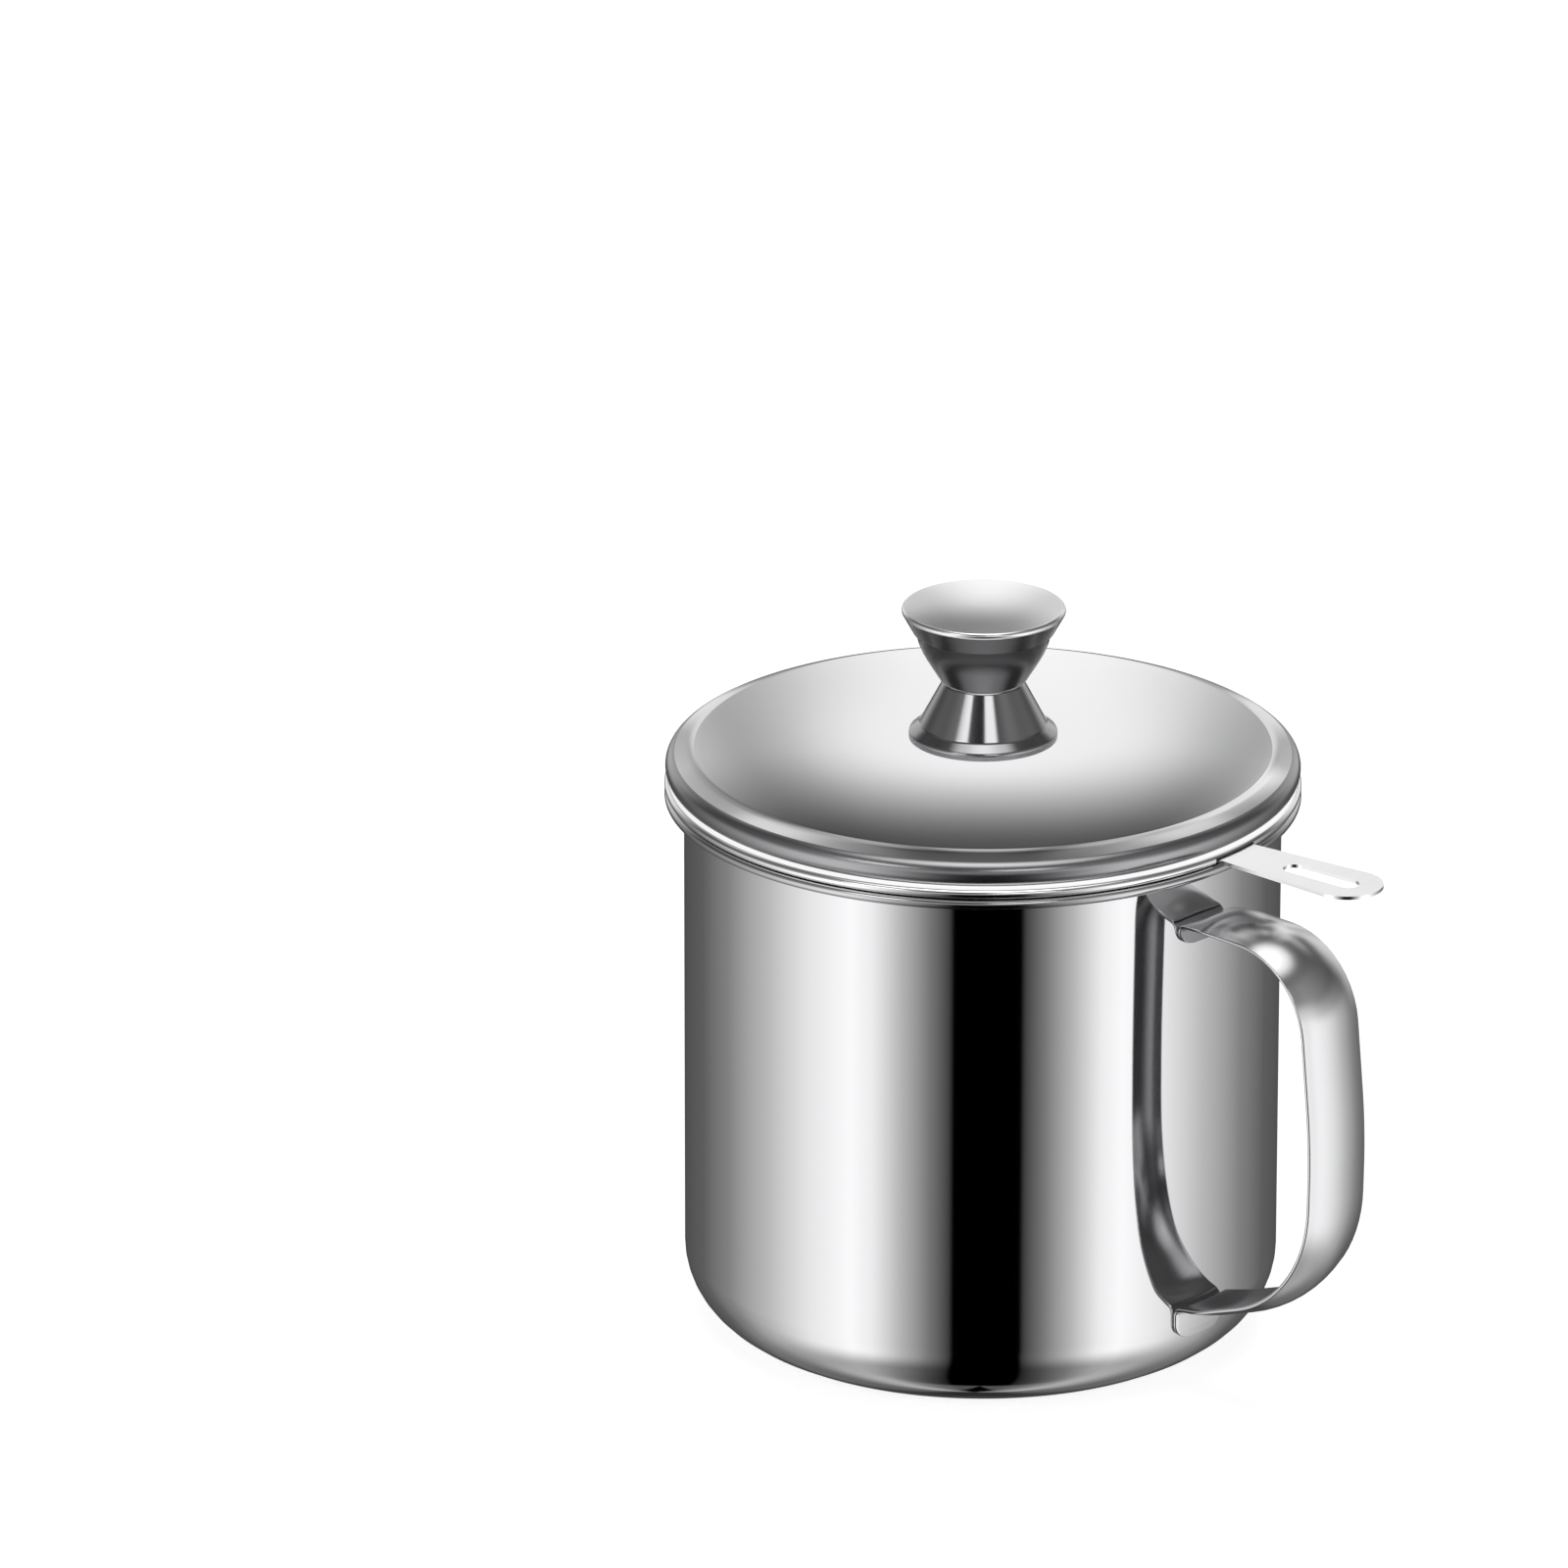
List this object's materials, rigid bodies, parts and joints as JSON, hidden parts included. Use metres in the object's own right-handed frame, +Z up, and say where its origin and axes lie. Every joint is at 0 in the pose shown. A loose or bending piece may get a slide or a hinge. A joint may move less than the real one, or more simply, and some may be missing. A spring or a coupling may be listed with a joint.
{
  "type": "bacon grease container",
  "caption": "Stainless steel grease pot with a strap handle, a lift-out strainer with a pierced screen and pull tab, and a lift-off lid with an hourglass knob.",
  "frame": {"origin": "centre of the pot's flat floor, on the surface that it stands on", "axes": "+Z up along the pot's axis; +X towards the strap handle; +Y to the left of the handle, seen from outside looking at it along -X"},
  "size_m": [0.1828, 0.144, 0.1722],
  "materials": {
    "polished_steel": "mirror-polished stainless steel",
    "satin_steel": "satin stainless steel",
    "lid_steel": "fine satin stainless steel, polished lip",
    "screen_steel": "pierced satin stainless steel sheet",
    "fixing_steel": "plain stainless steel fixings"
  },
  "bodies": {
    "pot": {"pot_body": "polished_steel", "pot_handle": "polished_steel"},
    "strainer": {"strainer_bowl": "satin_steel", "strainer_screen": "screen_steel", "strainer_handle": "satin_steel"},
    "lid": {"lid_shell": "lid_steel", "knob_base": "polished_steel", "knob_body": "polished_steel", "knob_cap": "lid_steel", "knob_insert": "fixing_steel", "knob_washer": "fixing_steel", "knob_screw": "fixing_steel"}
  },
  "joints": [
    {"name": "strainer_lift", "type": "slide", "parent": "pot", "child": "strainer", "axis": [0, 0, 1], "range_m": [0, 0.035]},
    {"name": "lid_lift", "type": "slide", "parent": "strainer", "child": "lid", "axis": [0, 0, 1], "range_m": [0, 0.031]}
  ]
}
